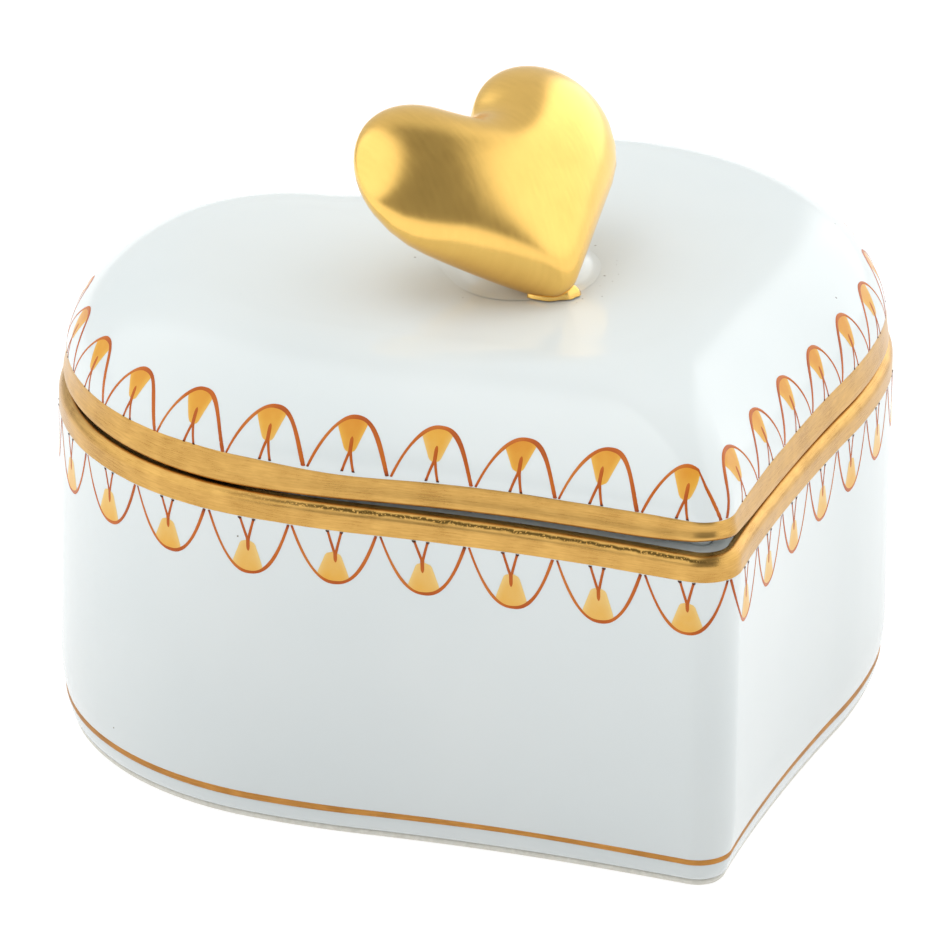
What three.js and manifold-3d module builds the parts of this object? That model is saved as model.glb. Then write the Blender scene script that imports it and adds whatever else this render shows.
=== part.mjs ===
// Heart-shaped porcelain trinket box with a lift-off lid and a puffy gilt heart for a knob.
// Millimetres, +Z up. The origin is on the table, under the middle of the box.
// The tip of the heart points to -Y and its two lobes to +Y.

import * as THREE from 'three';
import { mergeVertices } from 'three/addons/utils/BufferGeometryUtils.js';
import Module from 'manifold-3d';

const wasm = await Module();
wasm.setup();

// ---------------------------------------------------------------- driving dimensions

// Plan of the base at its rim
const BOX_WIDTH = 64;
const BOX_LENGTH = 62.4;
const TIP_RADIUS = 3;
const LEAST_TIP_RADIUS = 0.95; // inside the walls
const FLANK_RADIUS = 185; // the flank beside the tip is very slightly hollow
const LOBE_RADIUS = 23.2;
const BACK_RADIUS = 16;
const NOTCH_RADIUS = 3.2;
const SIDE_ANGLE = -0.7; // where the side arc turns into the lobe arc
const TIP_REACH = 7.2; // how far the tip stands out of the side arc
const BACK_ANGLE = 1.06; // where the lobe arc turns into the back arc

// Base
const BASE_HEIGHT = 26.35; // table to the ledge that the lid sits on
const WALL = 3.8;
const FLOOR = 2.9;
const DRAFT = 0.12; // how far the wall leans in from the rim to the foot
const FOOT_TURN = 5.2; // height below which the wall turns in towards the foot
const FOOT_PULL = 0.42; // how far it has turned in at the crease
const FLOOR_FILLET = 4;
const BEAD_RADIUS = 0.95; // rounding of the rim's outer edge
const FOOT_HEIGHT = 0.5;
const FOOT_WIDTH = 2.4;
const FOOT_INSET = 1.0;
const FOOT_RECESS = 1.7; // height of the underside inside the foot ring
const RECESS_CHAMFER = 0.5;
const CREASE_HEIGHT = 1.8; // where the wall ends and the foot begins

// Locating collar
const COLLAR_WIDTH = 1.3;
const COLLAR_HEIGHT = 2.15;
const COLLAR_ROUND = 0.3;
const COLLAR_CLEARANCE = 0.35;

// Gilding, modelled as skins thick enough to be solids
const GILT = 0.2;
const GILT_GAP = 0.05;
const BASE_BAND_HEIGHT = 1.75;
const BASE_BAND_REACH = 1.1; // how far the gold runs in over the ledge
const LID_BAND_HEIGHT = 2.4;
const FOOT_LINE_WIDTH = 0.6;

// Lid
const LID_SEAT = 0.35; // clearance between the ledge and the lid's edge, gilding included
const LID_INSET = 0.6;
const LID_WALL = 2.6;
const LID_SIDE = 1.7; // upright part of the lid, below its shoulder
const SHOULDER_WIDTH = 9.9;
const SHOULDER_HEIGHT = 8.05;
const CROWN = 0.55; // rise of the top from the shoulder to the middle
const REBATE_HEAD = 0.4; // room over the collar
const RIDGE_SOFTENING = 0.45; // growth of the tip radius per millimetre of inset, up the shoulder

// Knob
const KNOB_WIDTH = 23.2;
const KNOB_LENGTH = 17.8;
const KNOB_THICKNESS = 9.6;
const KNOB_TIP_RADIUS = 1.7;
const KNOB_FLANK_RADIUS = 170;
const KNOB_LOBE_RADIUS = 5.8;
const KNOB_NOTCH_RADIUS = 1.4;
const KNOB_SIDE_ANGLE = -0.2;
const KNOB_TIP_REACH = 5.9;
const KNOB_SWELL_AT = 0.72; // middle of the swelling, as a share of the knob's length
const KNOB_FULLNESS = 1.9; // exponent of the section: 2 is an ellipse
const KNOB_TILT = THREE.MathUtils.degToRad(42.5);
const KNOB_TURN = THREE.MathUtils.degToRad(15); // the knob isn't quite square to the box
const KNOB_TIP_X = -0.6;
const KNOB_TIP_Y = -6.3;
const KNOB_LIFT = 0.65; // from the lid's top to the knob's tip
const LUG_LENGTH = 3.8; // lump of slip pressed round the tip and gilt with the knob
const LUG_WIDTH = 2.2;
const LUG_HEIGHT = 3; // the lid's top cuts it at the middle
const LUG_TURN = THREE.MathUtils.degToRad(-33);
const LUG_X = -0.7;
const LUG_Y = -4.4;
const PAD_WIDTH = 11.8;
const PAD_LENGTH = 13.6;
const PAD_CENTRE_X = -0.5;
const PAD_CENTRE_Y = 1.5;
const PAD_FOOT = 0.5; // height of the pad's flared foot over the lid
const PAD_NECK = 1.5; // height of its narrow neck over the foot
const PAD_TAPER = { foot: 0.84, neck: 0.66, top: 0.6 }; // as shares of its full size
const PAD_GAP = 0.1;

// Facets
const PLAN_STEPS = { tip: 4, flank: 5, side: 4, lobe: 8, back: 7, notch: 3 };
const KNOB_STEPS = { tip: 3, flank: 5, side: 1, lobe: 5, back: 6, notch: 2 };
const ROUND_STEPS = 4;
const SHOULDER_STEPS = 8;
const CROWN_STEPS = 2;
const TURN_STEPS = 4;
const KNOB_RINGS = 8;
const KNOB_POLE = 0.4; // flat spot in the middle of each face, in rings
const LUG_STEPS = 16;
const PAD_STEPS = 40;

// ---------------------------------------------------------------- heights

const bowlFloor = FOOT_RECESS + FLOOR;
const lidBottom = BASE_HEIGHT + LID_SEAT;
const collarTop = BASE_HEIGHT + COLLAR_HEIGHT;
const rebateTop = collarTop + REBATE_HEAD;
const shoulderFoot = lidBottom + LID_SIDE;
const lidTop = shoulderFoot + SHOULDER_HEIGHT;
const lidCrown = lidTop + CROWN;
const collarOuter = WALL - COLLAR_WIDTH;
const rebateInset = collarOuter - COLLAR_CLEARANCE;

// ---------------------------------------------------------------- heart outlines

const boxPlan = {
  width: BOX_WIDTH,
  front: -BOX_LENGTH / 2,
  back: BOX_LENGTH / 2,
  tipRadius: TIP_RADIUS,
  flankRadius: FLANK_RADIUS,
  lobeRadius: LOBE_RADIUS,
  backRadius: BACK_RADIUS,
  notchRadius: NOTCH_RADIUS,
  sideAngle: SIDE_ANGLE,
  tipReach: TIP_REACH,
  backAngle: BACK_ANGLE,
  steps: PLAN_STEPS,
};

const knobPlan = {
  width: KNOB_WIDTH,
  front: 0,
  back: KNOB_LENGTH,
  tipRadius: KNOB_TIP_RADIUS,
  flankRadius: KNOB_FLANK_RADIUS,
  lobeRadius: KNOB_LOBE_RADIUS,
  backRadius: KNOB_LOBE_RADIUS,
  notchRadius: KNOB_NOTCH_RADIUS,
  sideAngle: KNOB_SIDE_ANGLE,
  tipReach: KNOB_TIP_REACH,
  backAngle: BACK_ANGLE,
  steps: KNOB_STEPS,
};

const turned = (angle, radius = 1) => new THREE.Vector2(radius * Math.cos(angle), radius * Math.sin(angle));
const bearing = (from, to) => Math.atan2(to.y - from.y, to.x - from.x);

function arc(centre, radius, start, end, steps) {
  const points = [];
  for (let i = 1; i <= steps; i += 1) {
    points.push(turned(start + ((end - start) * i) / steps, radius).add(centre));
  }
  return points;
}

// Centres of the tangent arcs that make the right half of a heart, from the tip to the notch.
function heartCentres(plan) {
  const backRise = (plan.lobeRadius - plan.backRadius) * Math.sin(plan.backAngle);
  const lobe = new THREE.Vector2(plan.width / 2 - plan.lobeRadius, plan.back - plan.backRadius - backRise);
  const back = lobe.clone().add(turned(plan.backAngle, plan.lobeRadius - plan.backRadius));
  const tip = new THREE.Vector2(0, plan.front + plan.tipRadius);
  // The side arc continues the lobe arc, flatter, and leaves the tip outside it by the tip's reach.
  const tipToLobe = lobe.clone().sub(tip);
  const clear = plan.lobeRadius - plan.tipRadius + plan.tipReach;
  const turn = turned(plan.sideAngle);
  const flatter = (tipToLobe.lengthSq() - clear ** 2) / (2 * (clear + tipToLobe.dot(turn)));
  const sideRadius = plan.lobeRadius + flatter;
  const side = lobe.clone().addScaledVector(turn, -flatter);
  // The hollow flank touches the tip arc and the side arc from outside.
  const span = side.clone().sub(tip);
  const toTip = plan.flankRadius + plan.tipRadius;
  const toSide = plan.flankRadius + sideRadius;
  const along = (toTip ** 2 - toSide ** 2 + span.lengthSq()) / (2 * span.length());
  const across = Math.sqrt(toTip ** 2 - along ** 2);
  const unit = span.clone().normalize();
  const flank = tip.clone().addScaledVector(unit, along);
  flank.add(new THREE.Vector2(unit.y, -unit.x).multiplyScalar(across));
  const notchRise = Math.sqrt((plan.notchRadius + plan.backRadius) ** 2 - back.x ** 2);
  const notch = new THREE.Vector2(0, back.y + notchRise);
  return { lobe, side, sideRadius, back, flank, notch };
}

// Closed heart outline, pulled in by `inset`. The tip keeps its own radius.
function heartOutline(plan, inset, tipRadius) {
  const { lobe, side, sideRadius, back, flank, notch } = heartCentres(plan);
  const { steps } = plan;
  const tipReach = plan.flankRadius + inset + tipRadius;
  const tip = new THREE.Vector2(0, flank.y + Math.sqrt(tipReach ** 2 - flank.x ** 2));
  const full = 2 * Math.PI;
  const flankStart = (bearing(flank, tip) + full) % full;
  const flankEnd = (bearing(flank, side) + full) % full;
  const half = [
    new THREE.Vector2(0, tip.y - tipRadius),
    ...arc(tip, tipRadius, -Math.PI / 2, bearing(tip, flank), steps.tip),
    ...arc(flank, plan.flankRadius + inset, flankStart, flankEnd, steps.flank),
    ...arc(side, sideRadius - inset, bearing(side, flank), plan.sideAngle, steps.side),
    ...arc(lobe, plan.lobeRadius - inset, plan.sideAngle, plan.backAngle, steps.lobe),
    ...arc(back, plan.backRadius - inset, plan.backAngle, bearing(back, notch), steps.back),
    ...arc(notch, plan.notchRadius + inset, bearing(notch, back), -Math.PI / 2, steps.notch),
  ];
  const mirrored = half.slice(1, -1).reverse().map((p) => new THREE.Vector2(-p.x, p.y));
  return [...half, ...mirrored];
}

// ---------------------------------------------------------------- lofts

// Joins rows of equal length into one closed body. A ring's last row joins its first;
// otherwise both ends are closed by a fan.
function loft(rows, ring) {
  const around = rows[0].length;
  const positions = rows.flat().flatMap((p) => [p.x, p.y, p.z]);
  const faces = [];
  const bands = ring ? rows.length : rows.length - 1;
  for (let r = 0; r < bands; r += 1) {
    const low = r * around;
    const high = ((r + 1) % rows.length) * around;
    for (let i = 0; i < around; i += 1) {
      const j = (i + 1) % around;
      faces.push([low + i, low + j, high + j], [low + i, high + j, high + i]);
    }
  }
  if (!ring) {
    const ends = [rows[0], rows[rows.length - 1]];
    ends.forEach((row, end) => {
      const middle = positions.length / 3;
      const mean = row.reduce((sum, p) => sum.add(p), new THREE.Vector3()).divideScalar(around);
      positions.push(mean.x, mean.y, mean.z);
      const first = end === 0 ? 0 : (rows.length - 1) * around;
      for (let i = 0; i < around; i += 1) {
        const j = (i + 1) % around;
        faces.push(end === 0 ? [middle, first + j, first + i] : [middle, first + i, first + j]);
      }
    });
  }
  const geometry = new THREE.BufferGeometry();
  geometry.setAttribute('position', new THREE.Float32BufferAttribute(positions, 3));
  geometry.setIndex(faces.flat());
  return facingOut(geometry);
}

// Turns every face round if the body is inside out.
function facingOut(geometry) {
  const { array: index } = geometry.index;
  const { position } = geometry.attributes;
  const [a, b, c] = [new THREE.Vector3(), new THREE.Vector3(), new THREE.Vector3()];
  let volume = 0;
  for (let i = 0; i < index.length; i += 3) {
    a.fromBufferAttribute(position, index[i]);
    b.fromBufferAttribute(position, index[i + 1]);
    c.fromBufferAttribute(position, index[i + 2]);
    volume += a.dot(b.cross(c));
  }
  if (volume < 0) {
    for (let i = 0; i < index.length; i += 3) {
      [index[i], index[i + 1]] = [index[i + 1], index[i]];
    }
  }
  return geometry;
}

// One row of the box at an inset and a height. `scale` shrinks it towards the middle.
function boxRow(inset, height, tipRadius, scale = 1) {
  const radius = tipRadius ?? Math.max(TIP_RADIUS - inset, LEAST_TIP_RADIUS);
  const outline = heartOutline(boxPlan, inset, radius);
  return outline.map((p) => new THREE.Vector3(p.x * scale, p.y * scale, height));
}

const boxRows = (profile) => profile.map((point) => boxRow(...point));

// A quarter of an ellipse as profile points, from its side at `start` to its crown at `end`.
function quarter(centreInset, centreHeight, reach, rise, start, end, steps) {
  const points = [];
  for (let i = 0; i <= steps; i += 1) {
    const angle = start + ((end - start) * i) / steps;
    points.push([centreInset - reach * Math.cos(angle), centreHeight + rise * Math.sin(angle)]);
  }
  return points;
}

// ---------------------------------------------------------------- base

// Inset of the outer wall at a height: all but upright, then turning in softly near the foot.
function wallInset(height) {
  const leaning = (BASE_HEIGHT - height) / (BASE_HEIGHT - CREASE_HEIGHT);
  const turning = Math.max(FOOT_TURN - height, 0) / (FOOT_TURN - CREASE_HEIGHT);
  return DRAFT * leaning + FOOT_PULL * turning ** 2;
}

// The part of the wall that turns in, from the crease upwards.
function wallTurn() {
  const rows = [];
  for (let i = 0; i <= TURN_STEPS; i += 1) {
    const height = CREASE_HEIGHT + ((FOOT_TURN - CREASE_HEIGHT) * i) / TURN_STEPS;
    rows.push([wallInset(height), height]);
  }
  return rows;
}

// The rim from its outer edge over onto the ledge, `proud` of the porcelain.
function beadProfile(proud, lowest, innermost) {
  const centre = BASE_HEIGHT - BEAD_RADIUS;
  const reach = BEAD_RADIUS + proud;
  return [
    [wallInset(lowest) - proud, lowest],
    ...quarter(BEAD_RADIUS, centre, reach, reach, 0, Math.PI / 2, ROUND_STEPS),
    [innermost, BASE_HEIGHT + proud],
  ];
}

function footRing() {
  const inner = FOOT_INSET + FOOT_WIDTH;
  return loft(boxRows([
    [FOOT_INSET, 0],
    [FOOT_INSET, FOOT_HEIGHT],
    [inner, FOOT_HEIGHT],
    [inner, 0],
  ]), true);
}

function bowl() {
  const recess = FOOT_INSET + FOOT_WIDTH;
  const round = FLOOR_FILLET;
  const inside = quarter(WALL + round, bowlFloor + round, round, -round, 0, Math.PI / 2, ROUND_STEPS);
  return loft(boxRows([
    [recess + RECESS_CHAMFER, FOOT_RECESS],
    [recess, FOOT_RECESS - RECESS_CHAMFER],
    [recess, FOOT_HEIGHT],
    [FOOT_INSET, FOOT_HEIGHT],
    ...wallTurn(),
    ...beadProfile(0, BASE_HEIGHT - BASE_BAND_HEIGHT, WALL),
    ...inside,
  ]), false);
}

function collar() {
  return loft(boxRows([
    [collarOuter, BASE_HEIGHT],
    [collarOuter, collarTop - COLLAR_ROUND],
    [collarOuter + COLLAR_ROUND, collarTop],
    [WALL - COLLAR_ROUND, collarTop],
    [WALL, collarTop - COLLAR_ROUND],
    [WALL, BASE_HEIGHT],
  ]), true);
}

function baseRimGilding() {
  const lowest = BASE_HEIGHT - BASE_BAND_HEIGHT;
  const outside = beadProfile(GILT_GAP + GILT, lowest, BASE_BAND_REACH);
  const inside = beadProfile(GILT_GAP, lowest, BASE_BAND_REACH);
  return loft(boxRows([...outside, ...inside.reverse()]), true);
}

function footLine() {
  const low = CREASE_HEIGHT + GILT_GAP;
  const high = low + FOOT_LINE_WIDTH;
  return loft(boxRows([
    [wallInset(low) - GILT_GAP, low],
    [wallInset(high) - GILT_GAP, high],
    [wallInset(high) - GILT_GAP - GILT, high],
    [wallInset(low) - GILT_GAP - GILT, low],
  ]), true);
}

// ---------------------------------------------------------------- lid

// Shoulder and top of the lid, `depth` under the outside, from the side to the middle.
function domeProfile(depth) {
  const side = LID_INSET + depth;
  const reach = SHOULDER_WIDTH - depth / 2;
  const rise = SHOULDER_HEIGHT - depth;
  const softened = (inset) => TIP_RADIUS - LID_INSET + RIDGE_SOFTENING * (inset - side);
  const shoulder = quarter(side + reach, shoulderFoot, reach, rise, 0, Math.PI / 2, SHOULDER_STEPS);
  const rows = shoulder.map(([inset, height]) => [inset, height, softened(inset)]);
  const [edgeInset, edgeHeight, edgeTip] = rows[rows.length - 1];
  for (let i = 1; i <= CROWN_STEPS; i += 1) {
    const scale = 1 - i / (CROWN_STEPS + 1);
    rows.push([edgeInset, edgeHeight + CROWN * (1 - scale ** 2), edgeTip, scale]);
  }
  return rows;
}

function lidDome() {
  const inner = domeProfile(LID_WALL).filter(([, height]) => height > rebateTop);
  return loft(boxRows([
    ...inner.reverse(),
    [LID_INSET + LID_WALL, rebateTop],
    [rebateInset, rebateTop],
    [rebateInset, lidBottom],
    [LID_INSET, lidBottom],
    ...domeProfile(0),
  ]), false);
}

function lidRimGilding() {
  const low = lidBottom + GILT_GAP;
  const high = low + LID_BAND_HEIGHT;
  const skin = (proud) => {
    const turn = Math.asin((high - shoulderFoot) / SHOULDER_HEIGHT);
    const topInset = LID_INSET + SHOULDER_WIDTH * (1 - Math.cos(turn));
    return [[LID_INSET - proud, low], [LID_INSET - proud, shoulderFoot], [topInset - proud, high]];
  };
  return loft(boxRows([...skin(GILT_GAP + GILT), ...skin(GILT_GAP).reverse()]), true);
}

// ---------------------------------------------------------------- knob

const knobPlace = new THREE.Matrix4()
  .makeTranslation(KNOB_TIP_X, KNOB_TIP_Y, lidCrown + KNOB_LIFT)
  .multiply(new THREE.Matrix4().makeRotationZ(KNOB_TURN))
  .multiply(new THREE.Matrix4().makeRotationX(KNOB_TILT));

// The puffy heart: its outline swells to full size at the middle of its thickness.
function puffyHeart(grown = 0) {
  const outline = heartOutline(knobPlan, -grown, KNOB_TIP_RADIUS + grown);
  const middle = new THREE.Vector2(0, KNOB_LENGTH * KNOB_SWELL_AT);
  const rows = [];
  for (let ring = -KNOB_RINGS; ring <= KNOB_RINGS; ring += 1) {
    const angle = (ring / (KNOB_RINGS + KNOB_POLE)) * (Math.PI / 2);
    const size = Math.cos(angle) ** (2 / KNOB_FULLNESS);
    const rise = Math.sign(angle) * Math.abs(Math.sin(angle)) ** (2 / KNOB_FULLNESS);
    rows.push(outline.map((p) => {
      const q = p.clone().sub(middle).multiplyScalar(size).add(middle);
      return new THREE.Vector3(q.x, q.y, rise * (KNOB_THICKNESS / 2 + grown)).applyMatrix4(knobPlace);
    }));
  }
  return loft(rows, false);
}

function tipLug(grown = 0) {
  const lump = new THREE.SphereGeometry(0.5, LUG_STEPS, LUG_STEPS / 2);
  lump.scale(LUG_LENGTH + 2 * grown, LUG_WIDTH + 2 * grown, LUG_HEIGHT + 2 * grown);
  return lump.rotateZ(LUG_TURN).translate(LUG_X, LUG_Y, lidCrown);
}

const solid = (geometry) => {
  const bare = geometry.clone();
  bare.deleteAttribute('normal');
  bare.deleteAttribute('uv');
  const merged = mergeVertices(bare, 1e-4);
  return new wasm.Manifold(new wasm.Mesh({
    numProp: 3,
    vertProperties: new Float32Array(merged.attributes.position.array),
    triVerts: new Uint32Array(merged.index.array),
  }));
};

const geometryOf = (manifold) => {
  const mesh = manifold.getMesh();
  const geometry = new THREE.BufferGeometry();
  geometry.setAttribute('position', new THREE.BufferAttribute(mesh.vertProperties, 3));
  geometry.setIndex(new THREE.BufferAttribute(mesh.triVerts, 1));
  return geometry;
};

const knobBody = (grown = 0) => solid(puffyHeart(grown)).add(solid(tipLug(grown)));

// The slip pad: a low oval mound, hollowed under the knob and cut off at the lid.
function knobPad(raisedLid) {
  const oval = (scale, height) => {
    const row = [];
    for (let i = 0; i < PAD_STEPS; i += 1) {
      const out = turned((2 * Math.PI * i) / PAD_STEPS, scale / 2);
      const [x, y] = [PAD_CENTRE_X + out.x * PAD_WIDTH, PAD_CENTRE_Y + out.y * PAD_LENGTH];
      row.push(new THREE.Vector3(x, y, height));
    }
    return row;
  };
  const under = lidTop - LID_WALL / 2;
  const rim = lidTop - PAD_GAP;
  const over = lidCrown + KNOB_THICKNESS / 2;
  const foot = lidCrown + PAD_FOOT;
  const mound = loft([
    oval(1, under),
    oval(1, rim),
    oval(PAD_TAPER.foot, foot),
    oval(PAD_TAPER.neck, foot + PAD_NECK),
    oval(PAD_TAPER.top, over),
  ], false);
  const pieces = solid(mound).subtract(knobBody(PAD_GAP)).subtract(raisedLid).decompose();
  return geometryOf(pieces.sort((a, b) => a.boundingBox().min[2] - b.boundingBox().min[2])[0]);
}

// ---------------------------------------------------------------- the box

const porcelain = { color: 0xeef1f1, roughness: 0.12, metalness: 0 };
const bareClay = { color: 0xdedad2, roughness: 0.75, metalness: 0 };
const gold = { color: 0xd4a555, roughness: 0.3, metalness: 1 };

function piece(name, geometry, finish) {
  const mesh = new THREE.Mesh(geometry, new THREE.MeshStandardMaterial(finish));
  mesh.name = name;
  return mesh;
}

const lid = lidDome();
const raisedLid = solid(lid).translate([0, 0, PAD_GAP]);
const knob = geometryOf(knobBody().subtract(raisedLid));
const box = new THREE.Group();
box.add(
  piece('base_foot_ring', footRing(), bareClay),
  piece('base_bowl', bowl(), porcelain),
  piece('base_collar', collar(), porcelain),
  piece('base_rim_gilding', baseRimGilding(), gold),
  piece('base_foot_line', footLine(), gold),
  piece('lid_dome', lid, porcelain),
  piece('lid_rim_gilding', lidRimGilding(), gold),
  piece('knob_pad', knobPad(raisedLid), porcelain),
  piece('heart_knob', knob, gold),
);

export default box;
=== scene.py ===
import math

import bmesh
import bpy
import numpy as np
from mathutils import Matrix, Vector
from mathutils.bvhtree import BVHTree


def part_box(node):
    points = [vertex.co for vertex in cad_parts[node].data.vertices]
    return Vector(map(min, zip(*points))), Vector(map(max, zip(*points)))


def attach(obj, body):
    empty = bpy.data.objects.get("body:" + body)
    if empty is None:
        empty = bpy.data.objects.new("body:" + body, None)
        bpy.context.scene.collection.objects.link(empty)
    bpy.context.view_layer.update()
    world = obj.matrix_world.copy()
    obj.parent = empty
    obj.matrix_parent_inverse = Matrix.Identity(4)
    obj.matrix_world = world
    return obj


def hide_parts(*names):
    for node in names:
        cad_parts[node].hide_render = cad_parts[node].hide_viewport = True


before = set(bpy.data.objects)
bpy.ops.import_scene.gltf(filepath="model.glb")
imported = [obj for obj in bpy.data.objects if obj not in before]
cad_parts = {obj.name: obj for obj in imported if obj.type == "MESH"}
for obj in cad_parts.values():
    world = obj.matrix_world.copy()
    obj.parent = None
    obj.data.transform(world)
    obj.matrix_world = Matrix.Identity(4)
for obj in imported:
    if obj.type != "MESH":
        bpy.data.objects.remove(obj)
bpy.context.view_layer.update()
mm = 0.001

# ------------------------------------------------------------------ foot ring
# The base stands on a dry ring of bare porcelain, left free of glaze so that the box doesn't stick
# to the kiln shelf, and ground smooth after firing. Its outline is the heart of the whole box.

bowl_low, bowl_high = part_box("base_bowl")
foot_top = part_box("base_foot_ring")[1].z
heart_width = bowl_high.x - bowl_low.x
heart_tip_y = bowl_low.y
heart_back_y = bowl_high.y
tip_round = 3 * mm
flank_round = 185 * mm
lobe_round = 23.2 * mm
back_round = 16 * mm
notch_round = 3.2 * mm
side_turn = -0.7
back_turn = 1.06
tip_reach = 7.2 * mm
arc_steps = dict(tip=12, flank=26, side=14, lobe=34, back=30, notch=12)


def on_circle(angle, radius):
    return np.array([math.cos(angle), math.sin(angle)]) * radius


def bearing(start, end):
    return math.atan2(end[1] - start[1], end[0] - start[0])


def heart_arcs(width, tip_y, back_y, tip, flank, lobe, back, notch, side_turn, back_turn, reach):
    """Centres of the tangent arcs of a heart's right half, and the radius of its side arc."""
    rise = (lobe - back) * math.sin(back_turn)
    lobe_at = np.array([width / 2 - lobe, back_y - back - rise])
    back_at = lobe_at + on_circle(back_turn, lobe - back)
    tip_at = np.array([0.0, tip_y + tip])
    tip_to_lobe = lobe_at - tip_at
    clear = lobe - tip + reach
    turn = on_circle(side_turn, 1)
    flatter = (tip_to_lobe @ tip_to_lobe - clear**2) / (2 * (clear + tip_to_lobe @ turn))
    side = lobe + flatter
    side_at = lobe_at - turn * flatter
    span = side_at - tip_at
    length = np.linalg.norm(span)
    along = ((flank + tip) ** 2 - (flank + side) ** 2 + length**2) / (2 * length)
    across = math.sqrt((flank + tip) ** 2 - along**2)
    unit = span / length
    flank_at = tip_at + unit * along + np.array([unit[1], -unit[0]]) * across
    notch_at = np.array([0.0, back_at[1] + math.sqrt((notch + back) ** 2 - back_at[0] ** 2)])
    return lobe_at, back_at, side_at, flank_at, notch_at, side


def heart_line(sizes, inset, tip, steps):
    """A closed heart, pulled in by inset, from its tip round the right lobe and back."""
    lobe_at, back_at, side_at, flank_at, notch_at, side = heart_arcs(**sizes)
    reach = sizes["flank"] + inset + tip
    tip_at = np.array([0.0, flank_at[1] + math.sqrt(reach**2 - flank_at[0] ** 2)])

    def arc(centre, radius, start, end, count):
        return [centre + on_circle(start + (end - start) * i / count, radius) for i in range(1, count + 1)]

    full = 2 * math.pi
    right = [tip_at - np.array([0, tip])]
    right += arc(tip_at, tip, -math.pi / 2, bearing(tip_at, flank_at), steps["tip"])
    right += arc(flank_at, sizes["flank"] + inset, bearing(flank_at, tip_at) % full,
                 bearing(flank_at, side_at) % full, steps["flank"])
    right += arc(side_at, side - inset, bearing(side_at, flank_at), sizes["side_turn"], steps["side"])
    right += arc(lobe_at, sizes["lobe"] - inset, sizes["side_turn"], sizes["back_turn"], steps["lobe"])
    right += arc(back_at, sizes["back"] - inset, sizes["back_turn"], bearing(back_at, notch_at),
                 steps["back"])
    right += arc(notch_at, sizes["notch"] + inset, bearing(notch_at, back_at), -math.pi / 2,
                 steps["notch"])
    right = np.array(right)
    left = right[1:-1][::-1] * [-1, 1]
    return np.concatenate([right, left])


def hand_cut(line):
    """The mould was cut by hand: the tip sits a little to the left, and the right flank is fuller."""
    x, y = line[:, 0], line[:, 1]
    tip_drift = -0.6 * mm * np.exp(-((y - heart_tip_y) / (10 * mm)) ** 2)
    fuller = 0.3 * mm / (1 + np.exp(-x / (2 * mm))) * np.exp(-((y + 6 * mm) / (9 * mm)) ** 2)
    return line + np.column_stack([tip_drift + fuller, 0 * y])


box_heart = dict(width=heart_width, tip_y=heart_tip_y, back_y=heart_back_y, tip=tip_round,
                 flank=flank_round, lobe=lobe_round, back=back_round, notch=notch_round,
                 side_turn=side_turn, back_turn=back_turn, reach=tip_reach)
rim_line = hand_cut(heart_line(box_heart, 0, tip_round, arc_steps))
rim_steps = np.linalg.norm(np.roll(rim_line, -1, 0) - rim_line, axis=1)
rim_length = rim_steps.sum()
rim_place = np.concatenate([[0], np.cumsum(rim_steps)[:-1]])
least_round = 0.8 * mm


def turning(inset, height, tip=None, scale=1.0):
    """One row of the pot at an inset and a height, which may change round the rim."""
    radius = max(tip_round - inset, least_round) if tip is None else tip
    line = hand_cut(heart_line(box_heart, inset, radius, arc_steps)) * scale
    return np.column_stack([line, np.broadcast_to(height, len(line))])


def cast(name, rows, ring=False, crown=(False, False)):
    """Casts rows of equal length into one smooth skin. A ring closes on itself; a crown closes an end."""
    rows = np.array(rows)
    count, around = rows.shape[:2]
    points = rows.reshape(-1, 3)
    faces = []
    for r in range(count if ring else count - 1):
        low, high = r * around, (r + 1) % count * around
        for i in range(around):
            j = (i + 1) % around
            faces.append((low + i, low + j, high + j, high + i))
    for end, row in ((0, 0), (1, count - 1)):
        if crown[end]:
            points = np.vstack([points, rows[row].mean(0)])
            middle, low = len(points) - 1, row * around
            fan = [(middle, low + (i + 1) % around, low + i) for i in range(around)]
            faces += fan if end == 0 else [face[::-1] for face in fan]
    mesh = bpy.data.meshes.new(name)
    mesh.from_pydata(points.tolist(), [], faces)
    brush = mesh.uv_layers.new(name="brush")
    travel = np.concatenate([[0], np.cumsum(np.linalg.norm(np.diff(rows, axis=0), axis=2).mean(1))])
    for face in mesh.polygons:
        for loop in face.loop_indices:
            vertex = mesh.loops[loop].vertex_index
            row, column = divmod(vertex, around)
            place = rim_place[column] if around == len(rim_place) else column / around * 60 * mm
            brush.data[loop].uv = (place / mm, travel[min(row, count - 1)] / mm)
    mesh.polygons.foreach_set("use_smooth", [True] * len(mesh.polygons))
    mesh.update()
    piece = bpy.data.objects.new(name, mesh)
    bpy.context.scene.collection.objects.link(piece)
    return piece


def facing_out(piece):
    """Turns the skin's faces outwards."""
    work = bmesh.new()
    work.from_mesh(piece.data)
    bmesh.ops.recalc_face_normals(work, faces=work.faces)
    work.to_mesh(piece.data)
    work.free()
    return piece


def new_finish(name):
    finish = bpy.data.materials.new(name)
    finish.use_nodes = True
    nodes = finish.node_tree.nodes
    return finish, nodes, finish.node_tree.links, nodes["Principled BSDF"]


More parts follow.
